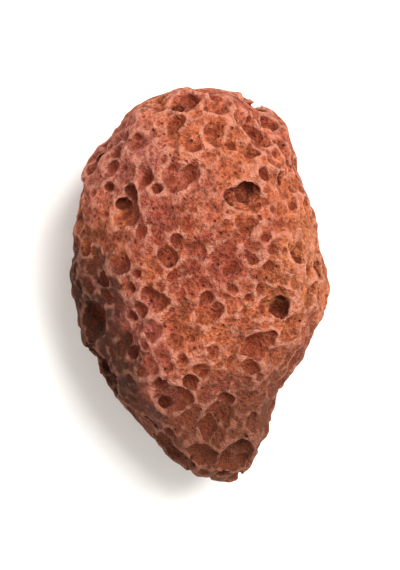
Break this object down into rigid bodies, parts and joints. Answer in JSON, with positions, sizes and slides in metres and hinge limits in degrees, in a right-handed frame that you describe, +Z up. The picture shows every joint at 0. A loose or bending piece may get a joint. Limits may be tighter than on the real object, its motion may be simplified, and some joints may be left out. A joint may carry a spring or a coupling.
{
  "type": "lava rock",
  "caption": "Gravel-sized piece of red vesicular lava rock: a blunt, chipped egg pitted with open gas pores, lying on a small flat bed.",
  "frame": {"origin": "under the middle of the stone's bounding box, on the plane that it rests on", "axes": "+Z up from the bed to the crown; +Y along the stone's length, towards its wide end; +X across it"},
  "size_m": [0.0116, 0.0176, 0.009],
  "materials": {
    "scoria": "matt, dusty, brick red, dark maroon in the pores"
  },
  "bodies": {
    "root": {"lava_rock": "scoria"}
  },
  "joints": []
}
